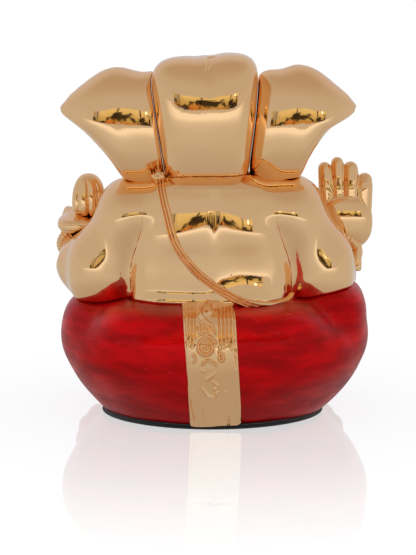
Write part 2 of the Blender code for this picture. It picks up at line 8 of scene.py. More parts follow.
import bpy
import numpy as np
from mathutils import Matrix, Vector


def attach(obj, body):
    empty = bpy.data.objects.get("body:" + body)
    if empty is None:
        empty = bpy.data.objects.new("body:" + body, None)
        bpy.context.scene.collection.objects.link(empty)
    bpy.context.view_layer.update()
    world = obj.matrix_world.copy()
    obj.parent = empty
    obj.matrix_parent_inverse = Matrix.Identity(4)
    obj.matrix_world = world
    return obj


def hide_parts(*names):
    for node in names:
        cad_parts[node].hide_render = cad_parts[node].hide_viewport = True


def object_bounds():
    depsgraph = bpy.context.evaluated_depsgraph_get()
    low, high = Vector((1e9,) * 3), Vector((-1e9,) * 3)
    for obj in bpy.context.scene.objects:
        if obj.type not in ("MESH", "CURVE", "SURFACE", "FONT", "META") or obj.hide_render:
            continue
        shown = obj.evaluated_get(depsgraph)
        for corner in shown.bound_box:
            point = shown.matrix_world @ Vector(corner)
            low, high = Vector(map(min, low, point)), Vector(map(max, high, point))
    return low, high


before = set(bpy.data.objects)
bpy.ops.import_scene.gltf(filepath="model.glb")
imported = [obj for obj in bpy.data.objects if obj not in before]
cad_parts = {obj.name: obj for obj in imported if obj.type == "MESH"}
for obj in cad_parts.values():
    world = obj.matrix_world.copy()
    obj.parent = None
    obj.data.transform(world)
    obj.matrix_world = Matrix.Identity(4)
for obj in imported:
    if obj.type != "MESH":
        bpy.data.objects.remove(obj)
CAD_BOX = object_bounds()

# The pattern's own box, in its millimetres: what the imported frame's box stands for.
PATTERN_LOW = np.array([-44.5, -40.55, 0.0])
PATTERN_HIGH = np.array([43.84, 38.86, 99.7])
CAD_LOW, CAD_HIGH = np.array(CAD_BOX[0]), np.array(CAD_BOX[1])
STRETCH = (CAD_HIGH - CAD_LOW) / (PATTERN_HIGH - PATTERN_LOW)

SEAM = 0.12  # open line between two castings, in the pattern's millimetres
ARRIS = 0.7  # how far a casting's edge is rounded where its neighbour cuts it


def in_frame(points):
    """Pattern millimetres to the frame's metres."""
    return CAD_LOW + (np.asarray(points, float) - PATTERN_LOW) * STRETCH


# Distances in the pattern: negative inside a shape, positive outside.


def oval(points, centre, radii, power=2.0):
    """Length from the centre less that length over |x/a|^n + |y/b|^n + |z/c|^n to the 1/n."""
    away = points - centre
    share = (np.abs(away / radii) ** power).sum(axis=1) ** (1 / power)
    reach = np.linalg.norm(away, axis=1)
    return reach - reach / np.maximum(share, 1e-9)


def limb(points, start, end, start_radius, end_radius):
    """Distance to the nearest point of a segment less a radius that changes evenly along it."""
    start, end = np.array(start, float), np.array(end, float)
    span = end - start
    along = np.clip((points - start) @ span / (span @ span), 0, 1)
    return np.linalg.norm(points - start - along[:, None] * span, axis=1) - (
        start_radius + (end_radius - start_radius) * along
    )


def chain(points, knots):
    """The smallest distance to a run of limbs through knots of x, y, z and radius."""
    parts = [limb(points, a[:3], b[:3], a[3], b[3]) for a, b in zip(knots[:-1], knots[1:])]
    return np.minimum.reduce(parts)


def blend(softness, *distances):
    """The union of distances; where two are within the softness, their corner is filled by a parabola."""
    joined = distances[0]
    for other in distances[1:]:
        fill = np.maximum(softness - np.abs(joined - other), 0) / softness
        joined = np.minimum(joined, other) - fill * fill * softness / 4
    return joined


def cut_away(own, *others, softness=ARRIS):
    """A surface with its neighbours' surfaces, grown by the seam, taken out and the new edge rounded."""
    return lambda points: -blend(softness, -own(points), *[other(points) - SEAM for other in others])


def luted(own, others, softness, overlap=2.5):
    """One casting of several whose joints are filled with slip and sponged smooth. The skin is the union of
    all of them, blended by a softness that may change from place to place; this casting keeps its own share
    of it, and past the joint it dips under its neighbour's skin and ends there."""

    def surface(points):
        mine, theirs = own(points), np.minimum.reduce([other(points) for other in others])
        past = mine - theirs
        skin = blend(softness(points), mine, theirs) + 0.05 * np.maximum(past - 0.8, 0)
        return -blend(0.5, -skin, overlap - past)

    return surface


def hump(offset, width):
    """A bell curve of height 1."""
    return np.exp(-((offset / width) ** 2))


def smooth_step(value, low, high):
    part = np.clip((value - low) / (high - low), 0, 1)
    return part * part * (3 - 2 * part)


def waves(points, length, seed, count=5):
    """A sum of sine waves of about one length in random directions: a hand-finished, uneven skin."""
    draw = np.random.default_rng(seed)
    ways = draw.normal(size=(count, 3))
    rates = (2 * np.pi / length) * draw.uniform(0.7, 1.4, count)[:, None]
    ways *= rates / np.linalg.norm(ways, axis=1)[:, None]
    turns = draw.uniform(0, 2 * np.pi, count)
    return np.sin(points @ ways.T + turns).sum(axis=1) / count


def smooth_path(knots, count, closed=False):
    """Evenly stepped points on a Catmull-Rom curve through the knots."""
    knots = np.array(knots, float)
    last = len(knots) if closed else len(knots) - 1
    step = np.linspace(0, last, count, endpoint=not closed)
    whole = np.minimum(step.astype(int), last - 1)
    part = (step - whole)[:, None]

    def knot(index):
        return knots[index % len(knots)] if closed else knots[np.clip(index, 0, len(knots) - 1)]

    before, start, end, after = (knot(whole + shift) for shift in (-1, 0, 1, 2))
    return 0.5 * (
        2 * start
        + (end - before) * part
        + (2 * before - 5 * start + 4 * end - after) * part**2
        + (3 * start - before - 3 * end + after) * part**3
    )


# Castings.


SEAT_MIDDLE = (-0.4, 0, 19)  # on its widest ring
HIPS = [((-33.2, 0, 25.8), (9.8, 17.5, 10.4), 2.9), ((31.5, 0, 23.4), (9.6, 17.5, 9.8), 2.3)]


def seat_skin(points):
    """A cushion |x/a|^n + |y/37.5|^n round, a being 40.5 to the left and 42 to the right, and n falling from
    2.4 to 2 towards the foot. It tapers below its widest ring, and above it is nearly upright behind with a
    tight upper edge. Full hips, two shins in front, and drapery from knee to ankle are blended in."""
    away = points - SEAT_MIDDLE
    across, back, up = points.T
    below = away[:, 2] < 0
    square = smooth_step(back, 6, 26) * (1 - smooth_step(np.abs(across), 14, 34))
    upright = np.where(below, 1.7, 2.6 + 7.4 * square)
    away[:, 1] += 0.0100 * square * np.maximum(away[:, 2] - 0.9, 0) ** 2
    to_left = smooth_step(away[:, 0], -8, 8)
    plan = 2.4 - 0.4 * smooth_step(-away[:, 2], 0, 14)
    level = np.abs(away[:, 0] / (42 - 1.5 * to_left)) ** plan + np.abs(away[:, 1] / 37.5) ** plan
    rise = np.abs(away[:, 2] / np.where(below, 30.3 + 0.9 * to_left, 15 - 1.2 * square))
    share = (level ** (upright / plan) + rise**upright) ** (1 / upright)
    reach = np.linalg.norm(away, axis=1)
    cushion = reach - reach / np.maximum(share, 1e-9)
    hips = [oval(points, *hip) for hip in HIPS]
    shins = [limb(points, (side * 27, -20, 13), (side * 7, -29, 10), 11, 7) for side in (1, -1)]
    body = blend(4, cushion, *hips, *shins)
    in_front = smooth_step(-back, 8, 24)
    folds = 0.28 * np.sin(up * 1.15 + np.abs(across) * 0.42 - 1.2) * in_front
    folds *= smooth_step(np.abs(across), 5, 12)
    lap = 0.5 * hump(across, 2.2) * in_front * smooth_step(up, 2, 8)
    return body + folds + lap + 0.2 * waves(points, 17, 3)


def by_height(knots):
    """A smooth curve through rows of height and sizes: a function from heights to columns of sizes."""
    table = smooth_path(knots, 500)
    return lambda up: [np.interp(up, table[:, 0], column) for column in table.T[1:]]


def stacked(points, middle, sizes, behind_power, front_power):
    """A body by its level sections: |x/a|^n + |y/b|^n = 1 about a middle line, with its own a to the left
    and right and its own b behind and in front at each height. Distance: radius less radius / share."""
    left, right, back, front = sizes(points[:, 2])
    across, along = points[:, 0], points[:, 1] - middle
    behind = along > 0
    wide = np.maximum(np.where(across > 0, left, right), 0.3)
    deep = np.maximum(np.where(behind, back - middle, middle - front), 0.3)
    power = np.where(behind, behind_power, front_power)
    share = (np.abs(across / wide) ** power + np.abs(along / deep) ** power) ** (1 / power)
    reach = np.hypot(across, along)
    return reach - reach / np.maximum(share, 1e-6)


# Height; half width to the left and to the right; the back's and the front's y.
TORSO_SECTIONS = [
    (25, 1, 1, 8.5, 6), (28, 14, 14, 17, -12), (31, 21.4, 20.8, 21, -20), (33, 23.4, 22.6, 22.6, -23),
    (34.6, 23.6, 23.1, 22.6, -24.6), (36.4, 23.3, 23, 21.9, -25.7), (39, 22.9, 22.6, 21.4, -26.6),
    (42, 22.4, 22.1, 21.2, -26.8), (46, 21.7, 21.4, 21.2, -26), (50, 20.8, 20.4, 21.5, -23.5),
    (54, 20, 19.5, 21.5, -20), (58, 19.2, 18.6, 21.1, -16.6), (61, 18.4, 17.8, 20.3, -14.6),
    (63.2, 17, 16.5, 19.3, -13), (65.2, 14.5, 14, 18, -10), (67.5, 9, 9, 14, -4), (69, 1, 1, 8.5, 6),
]
BACK_POWER = 2.8  # how square the back is across
HEAD_SECTIONS = [
    (57, 10.5, 8, 9, -6), (60, 11.6, 9, 11.5, -13), (65, 12.4, 9.9, 14.2, -18),
    (70, 13.1, 10.5, 16.2, -19.6),
    (76, 14.1, 11.3, 17.6, -20.8), (82, 15.1, 12, 18.2, -21.1), (88, 15.9, 12.6, 17.9, -19.6),
    (93, 16.4, 13, 17.4, -16.5), (97, 16.5, 13.2, 17, -12), (100, 16.5, 13.2, 16.8, -8),
]
torso_sizes = by_height(TORSO_SECTIONS)
head_sizes_open = by_height(HEAD_SECTIONS)
CROWN = 99.7  # top of the head
CROWN_BEND = 83.5  # where its sides begin to close


def head_sizes(up):
    """The head's sections, closed at the crown: the sides like |u|^6, the back like |u|^3.4."""
    left, right, back, front = head_sizes_open(up)
    rise = np.clip((up - CROWN_BEND) / (CROWN - CROWN_BEND), 0, 1)
    sides, behind = (1 - rise**5) ** 0.2, (1 - rise**3.2) ** (1 / 3.2)
    return left * sides, right * sides, 6 + (back - 6) * behind, 6 + (front - 6) * behind


def torso_skin(points):
    """Chest, belly and waist roll by sections, with two soft shoulder-blade swells, a spine groove between
    them, a swell above the waist to the right of the spine, a navel and a fold under the chest."""
    body = stacked(points, 8, torso_sizes, BACK_POWER, 2.2)
    across, back, up = points.T
    behind = smooth_step(back, 2, 12)
    spine = 0.55 * hump(across + 0.9, 1.3) * behind
    spine *= smooth_step(up, 45, 57) * (1 - smooth_step(up, 60, 65))
    blades = sum(hump(across - x, 6) * hump(up - z, 5) for x, z in ((10.5, 51), (-9.5, 52)))
    loins = 0.35 * hump(across + 9.5, 5.5) * hump(up - 34.5, 5)
    flat = (smooth_step(across, -3.5, 2) + smooth_step(-across, 15, 18.5)) * hump(up - 34.4, 3.8)
    front = smooth_step(-back, 4, 14)
    navel = 1.6 * hump(np.hypot(across, up - 40), 1.3) * front
    fold = 0.5 * hump(up - 51 + 0.02 * across**2, 1.1) * front * smooth_step(18 - np.abs(across), 0, 5)
    swells = behind * (0.5 * blades + loins - 1.1 * flat)
    return body + spine - swells + navel + fold + 0.1 * waves(points, 13, 5)


def head_skin(points):
    """The head by sections, its crown dipped between two low domes, a short pinched crease behind the dip,
    and a brow, eye sockets and cheeks in front."""
    across, back, up = points.T
    dip = 0.9 * hump(across - 0.6, 3.4) + 0.9 * smooth_step(across, 1, 5)
    lifted = np.column_stack([across, back, up + dip * smooth_step(up, 86, 98)])
    body = stacked(lifted, 6, head_sizes, 3.1, 2.3)
    crease = 0.8 * hump(across - 0.7 - 0.25 * np.abs(up - 97.4), 0.45)
    crease *= smooth_step(back, 8, 14) * smooth_step(up, 94.5, 97)
    valley = 0.5 * hump(across - 0.6, 1.8) * smooth_step(back, 4, 12) * smooth_step(up, 88, 97)
    front = smooth_step(-back, 8, 15)
    sockets = sum(hump(np.hypot(across - x, (up - 76) * 1.2), 3.6) for x in EYES)
    brow = sum(hump(up - 81.5 + 0.05 * (across - x) ** 2, 1.0) * hump(across - x, 4.5) for x in EYES)
    cheeks = sum(hump(np.hypot(across - x, up - 69), 4.5) for x in EYES)
    face = front * (0.9 * sockets - 0.55 * brow - 0.9 * cheeks)
    return body + crease + valley + face + 0.07 * waves(points, 15, 6)


EYES = (8.2, -6.2)
EAR_OUTLINES = {
    # Ear tip first, then over the top, down behind the head and back along the lower edge.
    "left": [(16.3, 2.6), (14.6, 5.6), (11.3, 8.8), (5.5, 13.0), (0.5, 14.4), (-5.5, 13.2), (-12, 12),
             (-15, 0), (-14, -16), (-7, -20.5), (-2.4, -17.7), (3.1, -10.2), (9.2, -3.5), (13.7, 0.1)],
    "right": [(-14.8, 3.0), (-13, 6.2), (-9.6, 9.3), (-4, 13.6), (1, 15.1), (5.5, 14), (12, 12),
              (15, 0), (14, -17), (7, -20.5), (1.4, -16.7), (-2.3, -9.4), (-7.3, -2.4), (-12.1, 0.6)],
}
EAR_CENTRES = {"left": (25, 2.5, 81), "right": (-25, 2.5, 81)}
OUTLINE_WAVES = 26  # harmonics kept of an ear's outline
EAR_TILT = 0.07  # how far the leaf leans forward for each millimetre up


def ear_skin(side):
    """A padded leaf about its centre. Its outline is a sum of waves round the centre, and inner level lines
    lose the waves power by power, so that the leaf swells evenly: level^2.7 plus depth over a bulge of 9.8
    behind and 5 in front, to the 2.1. In front there is a dish inside a rim, and a few soft veins."""
    curve = smooth_path(EAR_OUTLINES[side], 720, closed=True)
    angles = np.arctan2(curve[:, 1], curve[:, 0])
    order = np.argsort(angles)
    even = np.linspace(-np.pi, np.pi, 720, endpoint=False)
    radii = np.interp(even, angles[order], np.hypot(*curve.T)[order], period=2 * np.pi)
    parts = np.fft.rfft(radii)[:OUTLINE_WAVES] / len(radii)
    parts[1:] *= 2 * (-1.0) ** np.arange(1, OUTLINE_WAVES)

    def outline(turn, level):
        step = level**0.8 * np.exp(1j * turn)
        total = np.zeros(len(turn), complex)
        for part in parts[::-1]:
            total = total * step + part
        return total.real

    sign = 1 if side == "left" else -1

    def surface(points):
        away = points - EAR_CENTRES[side]
        away[:, 1] += EAR_TILT * away[:, 2]
        turn = np.arctan2(away[:, 2], away[:, 0])
        radius = np.hypot(away[:, 0], away[:, 2])
        level = radius / outline(turn, np.ones(len(turn)))
        edge = radius / outline(turn, np.clip(level, 0.05, 1))
        edge = np.where(level < 1, edge, level)
        depth = away[:, 1] / np.where(away[:, 1] > 0, 9.8, 5.0)
        share = (edge**2.7 + np.abs(depth) ** 2.1) ** (1 / 2.4)
        reach = np.linalg.norm(away, axis=1)
        front = smooth_step(-away[:, 1], 0.5, 3)
        dish = 1.5 * front * smooth_step(0.86 - edge, 0, 0.25)
        vein = 0.22 * np.cos(7 * turn) * front
        vein *= smooth_step(edge, 0.25, 0.6) * smooth_step(0.85 - edge, 0, 0.15)
        lobe = 0.5 * front * hump(away[:, 0] - sign * 1.5 * np.sin(away[:, 2] / 4), 1.2)
        return reach - reach / np.maximum(share, 1e-9) + dish + vein - 0.4 * lobe

    return surface


ELBOWS = {"left": (35, -5, 40), "right": (-32, -5, 38)}
WRISTS = {"left": (36.8, -12.8, 44.6), "right": (-36.4, -12.3, 43.2)}
ARM_CENTRES = {"left": (32.2, -4, 42.5), "right": (-29.4, -4, 42.5)}


def arm_skin(side):
    """A shoulder oval blended into a fuller elbow oval, and a tapered forearm to the wrist."""
    shoulder, upper = {
        "left": (((23, 4, 54.6), (8.6, 12.5, 10.6)), ((29.2, 1.5, 39.8), (10.5, 12.8, 11.6), 2.4)),
        "right": (((-22.4, 4, 54.8), (9.2, 12.5, 11.2)), ((-29.2, 1.5, 39.6), (10.3, 12.8, 12.4), 2.4)),
    }[side]

    def surface(points):
        sleeve = blend(8, oval(points, *shoulder), oval(points, *upper))
        forearm = limb(points, ELBOWS[side], WRISTS[side], 8, 4.8)
        return blend(4, sleeve, forearm)

    return surface


RAISED_PALM = (-37.4, -12, 50.5)
# Each finger of the raised hand: across at its root and its tip, the height of its tip, its thickness.
FINGERS = (
    (-32.3, -31.6, 67.4, 2.1), (-35.5, -35.1, 68.8, 2.0),
    (-38.9, -38.8, 67.6, 2.45), (-42.4, -42.8, 64.4, 2.4),
)


def raised_hand_skin(points):
    """A flat palm, four fingers close together that lean forward a little at the tips, a ridge of knuckles
    across the backs of the fingers, and a thumb in front of the palm."""
    x, y, z = RAISED_PALM
    palm = oval(points, RAISED_PALM, (7.6, 4.1, 7.8), 2.4)
    fingers = [
        chain(points, [(root, y, z + 4, thick), ((root + tip) / 2, y - 0.3, (z + top) / 2 + 3, thick),
                       (tip, y - 1.0, top - thick, thick * 0.86)])
        for root, tip, top, thick in FINGERS
    ]
    thumb = chain(points, [
        (x + 3.5, y - 2, z - 0.4, 2.4), (x + 7.2, y - 3.4, z + 4, 2.1), (x + 8, y - 3.6, z + 7.4, 1.7),
    ])
    knuckles = 0.2 * hump(points[:, 2] - (z + 10.6), 0.4) * smooth_step(points[:, 1], y, y + 1)
    return blend(0.35, blend(1.2, palm, thumb), *fingers) + knuckles


OFFERING_PALM = (35.8, -12.5, 49.9)


def offering_hand_skin(points):
    """A palm turned up like a tray on its heel, with a rolled rim and four fingers curling up in front."""
    x, y, z = OFFERING_PALM
    palm = oval(points, OFFERING_PALM, (6.9, 7.6, 2.5), 3)
    heel = limb(points, (x + 0.8, y - 0.3, z - 2.6), (x + 0.2, y, z - 0.8), 3.9, 4.8)
    fingers = [
        chain(points, [(x + across, y - 3.5, z - 0.6, 1.9), (x + across, y - 7.4, z - 0.2, 1.8),
                       (x + across * 0.9, y - 9.0, z + 2.0, 1.5)])
        for across in (-4.6, -1.5, 1.6, 4.6)
    ]
    thumb = chain(points, [(x + 2, y - 2, z, 2.0), (x + 3.2, y - 5.5, z + 2.0, 1.7)])
    crease = 0.3 * hump(points[:, 2] - (z - 1.2), 0.3) * smooth_step(points[:, 0], x, x + 3)
    return blend(0.8, blend(1.8, palm, heel, thumb), *fingers) + crease


MODAK_MIDDLE = (34.0, -11, 55.6)
MODAK_RADIUS, MODAK_TOP, MODAK_UNDER = 4.8, 8.6, 3.6


def modak_skin(points):
    """A dumpling: a dome over a round middle, flatter under it, with eight pleats that twist to the top."""
    away = points - MODAK_MIDDLE
    turn = np.arctan2(away[:, 1], away[:, 0])
    above = away[:, 2] > 0
    rise = np.clip(away[:, 2] / MODAK_TOP, 0, 1)
    round_share = (np.hypot(away[:, 0], away[:, 1]) / MODAK_RADIUS) ** 2.3
    up_share = np.abs(away[:, 2] / np.where(above, MODAK_TOP, MODAK_UNDER)) ** 2.3
    share = (round_share + up_share) ** (1 / 2.3)
    reach = np.linalg.norm(away, axis=1)
    pleats = 1.15 * (1 - np.abs(np.sin(4 * turn + 0.6 * rise)) ** 0.36) * smooth_step(1 - rise, 0.08, 0.4)
    return reach - reach / np.maximum(share, 1e-9) + pleats


FOOT = (10, -33, 7.4)


def foot_skin(side):
    """A plump sole with five toes in an arc, the big toe inwards."""
    x, y, z = FOOT

    def surface(points):
        sole = oval(points, (side * x, y, z), (6.6, 6.4, 4.8), 2.2)
        toes = [
            oval(points, (side * (x - 4.6 + 2.3 * toe), y - 5.2 + 0.4 * toe * toe, z - 0.4),
                 (1.8 - 0.12 * toe, 2.4, 2.6))
            for toe in range(5)
        ]
        return blend(0.6, sole, *toes)

    return surface


TRUNK_KNOTS = [
    (1, -14, 75, 7.4), (1, -22, 70, 6.8), (1.4, -28, 63, 5.8), (3, -31, 54, 4.9), (7, -32, 47, 4.3),
    (12.5, -31.4, 43.8, 3.8), (17.5, -29.5, 45, 3.4), (19.5, -28.5, 49.5, 3.1),
]


# Meshes.


def flat_grid(first, second):
    """Every pair of two rows of values, the first running faster."""
    return (grid.ravel() for grid in np.meshgrid(first, second))


def ball_grid(count):
    """Unit directions of a cube's six faces, each a grid at even angles, welded at the cube's edges."""
    ramp = np.tan(np.linspace(-1, 1, count + 1) * np.pi / 4)
    u, v = flat_grid(ramp, ramp)
    one = np.ones_like(u)
    sides = [(one, u, v), (-one, v, u), (v, one, u), (u, -one, v), (u, v, one), (v, u, -one)]
    points = np.concatenate([np.column_stack(side) for side in sides])
    column, row = flat_grid(np.arange(count), np.arange(count))
    corner = row * (count + 1) + column
    quads = np.column_stack([corner, corner + 1, corner + count + 2, corner + count + 1])
    quads = np.concatenate([quads + side * (count + 1) ** 2 for side in range(6)])
    _, first, index = np.unique(np.round(points, 7), axis=0, return_index=True, return_inverse=True)
    directions = points[first] / np.linalg.norm(points[first], axis=1)[:, None]
    return directions, index.reshape(-1)[quads]


def pushed_out(surface, start, directions, reach):
    """The furthest crossing of the surface along each direction: even strides outwards, then halving."""
    strides = np.linspace(0, reach, int(reach / 1.3) + 1)
    near = np.zeros(len(directions))
    for stride in strides:
        near[surface(start + directions * stride) < 0] = stride
    far = near + strides[1]
    for _ in range(13):
        middle = (near + far) / 2
        inside = surface(start + directions * middle[:, None]) < 0
        near, far = np.where(inside, middle, near), np.where(inside, far, middle)
    return start + directions * near[:, None]


def piece(name, points, faces, finish, node=None):
    """A smooth mesh in the frame's metres that rides on the body and stands for its CAD node."""
    mesh = bpy.data.meshes.new(name)
    mesh.from_pydata(in_frame(points), [], faces)
    mesh.validate()
    mesh.shade_smooth()
    mesh.materials.append(finish)
    obj = bpy.data.objects.new(name, mesh)
    bpy.context.scene.collection.objects.link(obj)
    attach(obj, "root")
    if node:
        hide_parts(node)
    return obj


def casting(name, surface, centre, finish, node, detail=64, reach=60):
    directions, quads = ball_grid(detail)
    points = pushed_out(surface, np.array(centre, float), directions, reach)
    return piece(name, points, quads, finish, node)


def tube_faces(rings, sides, closed):
    """Quads between neighbouring rings, and a flat face over each end where the tube isn't closed. They look
    out where the rings run clockwise, seen along the path."""
    ring, side = flat_grid(np.arange(rings if closed else rings - 1), np.arange(sides))
    ahead, beside = (ring + 1) % rings, (side + 1) % sides
    near, far = ring * sides, ahead * sides
    faces = np.column_stack([near + side, near + beside, far + beside, far + side]).tolist()
    if not closed:
        faces.append(list(range(sides))[::-1])
        faces.append([(rings - 1) * sides + side for side in range(sides)])
    return faces


def circle(count):
    """Even turns, clockwise, and the points of a round profile of radius 1."""
    turn = np.linspace(0, -2 * np.pi, count, endpoint=False)
    return turn, np.column_stack([np.cos(turn), np.sin(turn)])


def along_path(path, profiles, outward=None, closed=False):
    """A profile carried along a path: each ring is path + a * sideways + b * outward, where outward is the
    given direction, or the figure's back, made square to the path."""
    path = np.asarray(path, float)
    way = np.roll(path, -1, axis=0) - np.roll(path, 1, axis=0) if closed else np.gradient(path, axis=0)
    way /= np.linalg.norm(way, axis=1)[:, None]
    if outward is None:
        outward = np.tile((0.02, 1.0, 0.03), (len(path), 1))
    outward = outward - (outward * way).sum(axis=1)[:, None] * way
    outward /= np.linalg.norm(outward, axis=1)[:, None]
    sideways = np.cross(way, outward)
    rings = path[:, None, :] + profiles[:, :, :1] * sideways[:, None, :]
    rings = rings + profiles[:, :, 1:] * outward[:, None, :]
    return rings.reshape(-1, 3)


def steepest(surface, points):
    """The surface's outward normal: the change of its distance over a small step along each axis."""
    step = 0.05
    slopes = [surface(points + shift) - surface(points - shift) for shift in np.eye(3) * step]
    normals = np.stack(slopes, axis=1)
    return normals / np.linalg.norm(normals, axis=1)[:, None]


def relief_sheet(outer, inner, shape):
    """A closed sheet: an outer and an inner grid of the same shape, joined round their edges."""
    rows, columns = shape
    count = rows * columns
    column, row = flat_grid(np.arange(columns - 1), np.arange(rows - 1))
    corner = row * columns + column
    top = np.column_stack([corner, corner + 1, corner + columns + 1, corner + columns])
    rim = np.concatenate([
        np.arange(columns), np.arange(2, rows + 1) * columns - 1,
        np.arange(count - 2, count - columns - 1, -1), np.arange(rows - 2, 0, -1) * columns,
    ])
    ahead = np.roll(rim, -1)
    edge = np.column_stack([rim, rim + count, ahead + count, ahead])
    faces = np.concatenate([top, top[:, ::-1] + count, edge])
    return np.concatenate([outer, inner]), faces


# Finishes.


class Value:
    """One socket of a finish. Python's arithmetic on it adds Math nodes."""

    def __init__(self, finish, socket):
        self.finish, self.socket = finish, socket

    def math(self, operation, *others):
        inputs = dict(enumerate((self, *others)))
        return self.finish.node("ShaderNodeMath", {"operation": operation}, inputs)

    def __add__(self, other):
        return self.math("ADD", other)

    def __sub__(self, other):
        return self.math("SUBTRACT", other)

    def __rsub__(self, other):
        return self.finish.node("ShaderNodeMath", {"operation": "SUBTRACT"}, {0: other, 1: self})

    def __mul__(self, other):
        return self.math("MULTIPLY", other)

    def __truediv__(self, other):
        return self.math("DIVIDE", other)

    def __pow__(self, other):
        return self.math("POWER", other)

    __radd__, __rmul__ = __add__, __mul__

    def ramp(self, low, high):
        """0 below low, 1 above high, and a smooth step between."""
        settings = {"interpolation_type": "SMOOTHSTEP", "clamp": True}
        inputs = {"Value": self, "From Min": low, "From Max": high}
        return self.finish.node("ShaderNodeMapRange", settings, inputs)


class Finish:
    """A node tree under construction."""

    def __init__(self, tree):
        self.tree = tree

    def node(self, kind, settings=None, inputs=None, output=0):
        """Any node: its settings, then its sockets by name or number, as numbers, colours or Values."""
        made = self.tree.nodes.new(kind)
        for key, value in (settings or {}).items():
            setattr(made, key, value)
        for key, value in (inputs or {}).items():
            if isinstance(value, Value):
                self.tree.links.new(value.socket, made.inputs[key])
            else:
                made.inputs[key].default_value = value
        return Value(self, made.outputs[output])

    def place(self, scale=(1, 1, 1), turn=(0, 0, 0)):
        """Object coordinates, stretched and turned."""
        spot = self.node("ShaderNodeTexCoord", output="Object")
        return self.node("ShaderNodeMapping", {}, {"Vector": spot, "Scale": scale, "Rotation": turn})

    def noise(self, where, scale, detail=2.0, roughness=0.5):
        inputs = {"Vector": where, "Scale": scale, "Detail": detail, "Roughness": roughness}
        return self.node("ShaderNodeTexNoise", {}, inputs)

    def colour_mix(self, factor, first, second):
        """A colour between two others, by a factor."""
        return self.node("ShaderNodeMix", {"data_type": "RGBA"}, {0: factor, 6: first, 7: second}, output=2)

    def bump(self, height, distance, strength=1.0, under=None):
        inputs = {"Height": height, "Distance": distance, "Strength": strength}
        if under:
            inputs["Normal"] = under
        return self.node("ShaderNodeBump", {}, inputs)


def new_finish(name):
    material = bpy.data.materials.new(name)
    material.use_nodes = True
    finish = Finish(material.node_tree)
    shader = material.node_tree.nodes["Principled BSDF"]
    return material, finish, shader


def wire_up(finish, shader, values):
    """Numbers go on the shader's own sockets, and Values are linked to them."""
    for key, value in values.items():
        if isinstance(value, Value):
            finish.tree.links.new(value.socket, shader.inputs[key])
        else:
            shader.inputs[key].default_value = value


def gilt_finish():
    """Mirror plating over hand-smoothed ceramic: long soft waves, a fine orange peel, a few pits, faint
    cloudy handling marks in the roughness, and a slightly redder tone where the film is thin."""
    material, finish, shader = new_finish("gilt")
    where = finish.place()
    cloud = finish.noise(where, 90, 3)
    thin = finish.noise(where, 45, 2).ramp(0.45, 0.75)
    colour = finish.colour_mix(thin * 0.6, (0.93, 0.60, 0.315, 1), (0.90, 0.55, 0.265, 1))
    smudge = finish.noise(where, 260, 4).ramp(0.5, 0.8)
    roughness = 0.045 + 0.06 * cloud * smudge
    peel = finish.noise(where, 420, 2)
    pits = finish.node("ShaderNodeTexVoronoi", {}, {"Vector": where, "Scale": 330, "Randomness": 1.0})
    pit = 1 - pits.ramp(0.0, 0.09)
    rare = finish.noise(where, 70, 1).ramp(0.60, 0.66)
    height = 0.10 * peel - pit * rare
    normal = finish.bump(height, 0.00012)
    wire_up(finish, shader, {"Base Color": colour, "Metallic": 1.0, "Roughness": roughness, "Normal": normal})
    return material


def enamel_finish():
    """Translucent red laid on plate with a brush: the metal under it shines through as red. Strokes follow
    the seat round, darker in their hollows, under a thin gloss with a slight ripple. Painted shade darkens
    the red towards the foot."""
    material, finish, shader = new_finish("red_enamel")
    strokes = finish.noise(finish.place((1, 1, 4), (0.15, 0.08, 0)), 70, 4, 0.6)
    crossing = finish.noise(finish.place((1, 1, 3), (-0.6, 0.4, 0)), 110, 4, 0.6)
    pool = finish.noise(finish.place(), 35, 2)
    tone = (strokes * 0.5 + crossing * 0.3 + pool * 0.2).ramp(0.36, 0.66)
    colour = finish.colour_mix(tone, (0.33, 0.0003, 0.0010, 1), (0.68, 0.0005, 0.0030, 1))
    fleck = finish.noise(finish.place((1, 1, 3)), 420, 3).ramp(0.67, 0.74)
    colour = finish.colour_mix(fleck * 0.5, colour, (0.80, 0.02, 0.02, 1))
    # Painted shade: the red is darkened towards the seat's foot by height alone.
    height = finish.node("ShaderNodeSeparateXYZ", {}, {0: finish.place()}, output=2)
    shade = (1 - height.ramp(0.004, 0.030)) * 0.4
    colour = finish.colour_mix(shade, colour, (0.10, 0.0002, 0.0006, 1))
    ripple = finish.noise(finish.place((1, 1, 3)), 160, 2)
    brushed = finish.bump(strokes, 0.00022, 0.5)
    normal = finish.bump(ripple, 0.0002, 0.6, brushed)
    wire_up(finish, shader, {
        "Base Color": colour, "Roughness": 0.44 - tone * 0.1, "Metallic": 0.6, "Normal": normal,
        "Specular IOR Level": 0.09, "Coat Weight": 0.11, "Coat Roughness": 0.05,
    })
    return material


def felt_finish():
    """Black felt: short fibres in every direction, a little grey dust and a soft sheen."""
    material, finish, shader = new_finish("felt")
    fibre = finish.noise(finish.place((1, 1, 0.35)), 2600, 5, 0.7)
    dust = finish.noise(finish.place(), 700, 3).ramp(0.58, 0.75)
    colour = finish.colour_mix(dust * 0.35, (0.008, 0.007, 0.008, 1), (0.05, 0.046, 0.046, 1))
    normal = finish.bump(fibre, 0.0003, 0.9)
    wire_up(finish, shader, {"Base Color": colour, "Roughness": 0.95, "Sheen Weight": 0.25, "Normal": normal})
    return material


GILT = gilt_finish()
ENAMEL = enamel_finish()
FELT = felt_finish()


# Pieces.


def floor_of(surface, height):
    """A surface with a flat underside, its edge rounded."""
    return lambda points: -blend(0.8, -surface(points), -(height - points[:, 2]))


def shoulder_slip(points):
    """Joints round the arms: sponged flush over the shoulder, and only a thin fillet down the armpit."""
    return 2.8 + 0.8 * smooth_step(points[:, 2], 40, 50) + 5.4 * smooth_step(points[:, 2], 50, 59)


